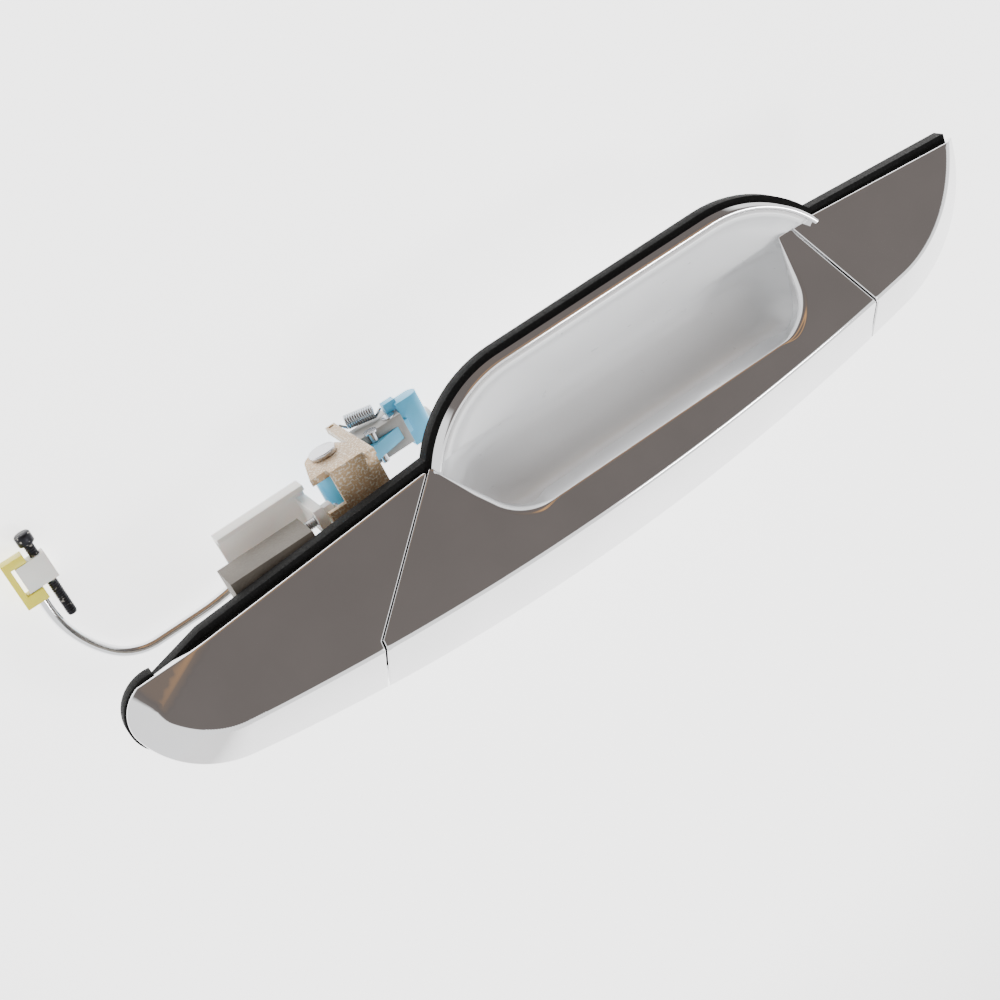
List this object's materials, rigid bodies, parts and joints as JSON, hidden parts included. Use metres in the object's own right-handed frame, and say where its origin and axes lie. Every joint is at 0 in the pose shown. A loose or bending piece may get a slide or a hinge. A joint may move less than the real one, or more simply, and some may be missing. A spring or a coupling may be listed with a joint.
{
  "type": "car door handle",
  "caption": "Chromed outside pull handle for a rear side door: bezel with finger cup and flap grip, bell crank, spring and latch rod behind.",
  "frame": {"origin": "midway between the two fixing screws, on the face that meets the door skin", "axes": "+X along the handle towards the rounded nose, +Y up the door towards the convex edge, +Z out of the door"},
  "size_m": [0.2905, 0.0835, 0.0589],
  "materials": {
    "chrome": "bright chrome plating on moulded plastic",
    "cup_chrome": "bright chrome plating on moulded plastic",
    "rubber": "soft black rubber",
    "base_nylon": "glass-filled nylon",
    "brass": "turned brass",
    "screw_steel": "zinc plated steel",
    "pin_steel": "zinc plated steel",
    "spring_steel": "spring wire",
    "gold_zinc": "yellow passivated zinc plating on pressed steel",
    "black_steel": "dark phosphated steel",
    "white_nylon": "natural nylon",
    "black_nylon": "black nylon",
    "blue_nylon": "moulded blue acetal",
    "bronze": "sintered bronze",
    "weight_zinc": "die-cast zinc",
    "rod_steel": "bright zinc plated steel wire",
    "yellow_nylon": "moulded yellow nylon"
  },
  "bodies": {
    "base": {"bezel": "chrome", "finger_cup": "cup_chrome", "gasket": "rubber", "base_frame": "base_nylon", "threaded_inserts": "brass", "bezel_screws": "screw_steel", "bump_stops": "rubber", "hinge_pins": "pin_steel", "grip_spring": "spring_steel", "crank_bracket": "gold_zinc", "bracket_rivets": "pin_steel", "pivot_pin": "pin_steel", "pivot_clip": "black_steel", "crank_spring": "spring_steel", "guide_screw": "screw_steel", "guide_nut": "pin_steel", "rod_guide": "white_nylon"},
    "grip": {"grip_shell": "chrome", "grip_carrier": "black_nylon", "grip_screws": "screw_steel", "arm_cap": "white_nylon"},
    "crank": {"bell_crank": "blue_nylon", "pivot_bush": "bronze", "balance_weight": "weight_zinc", "weight_rivets": "pin_steel", "rod_bush": "white_nylon"},
    "rod": {"latch_rod": "rod_steel", "clip_barrel": "white_nylon", "threaded_stud": "black_steel"},
    "latch": {"clip_latch": "yellow_nylon"}
  },
  "joints": [
    {"name": "grip_hinge", "type": "hinge", "parent": "base", "child": "grip", "pos_m": [0, 0.016, 0.002], "axis": [-1, 0, 0], "range_deg": [0, 20], "stiffness_Nm_per_rad": 0.6, "springref_deg": -20.05, "deforming": ["grip_spring", "crank_spring"]},
    {"name": "crank_pivot", "type": "hinge", "parent": "base", "child": "crank", "pos_m": [0.07, -0.02, -0.02], "axis": [0, 1, 0], "range_deg": [0, 25]},
    {"name": "rod_swivel", "type": "hinge", "parent": "crank", "child": "rod", "pos_m": [0.065, -0.0202, -0.0355], "axis": [0, 1, 0], "range_deg": [-25, 0]},
    {"name": "clip_lock", "type": "hinge", "parent": "rod", "child": "latch", "pos_m": [0.15411, -0.03772, -0.0355], "axis": [0, -1, 0], "range_deg": [0, 75]}
  ],
  "couplings": [
    {"joint": "crank_pivot", "follows": "grip_hinge", "ratio": 1.25},
    {"joint": "rod_swivel", "follows": "grip_hinge", "ratio": -1.25}
  ]
}
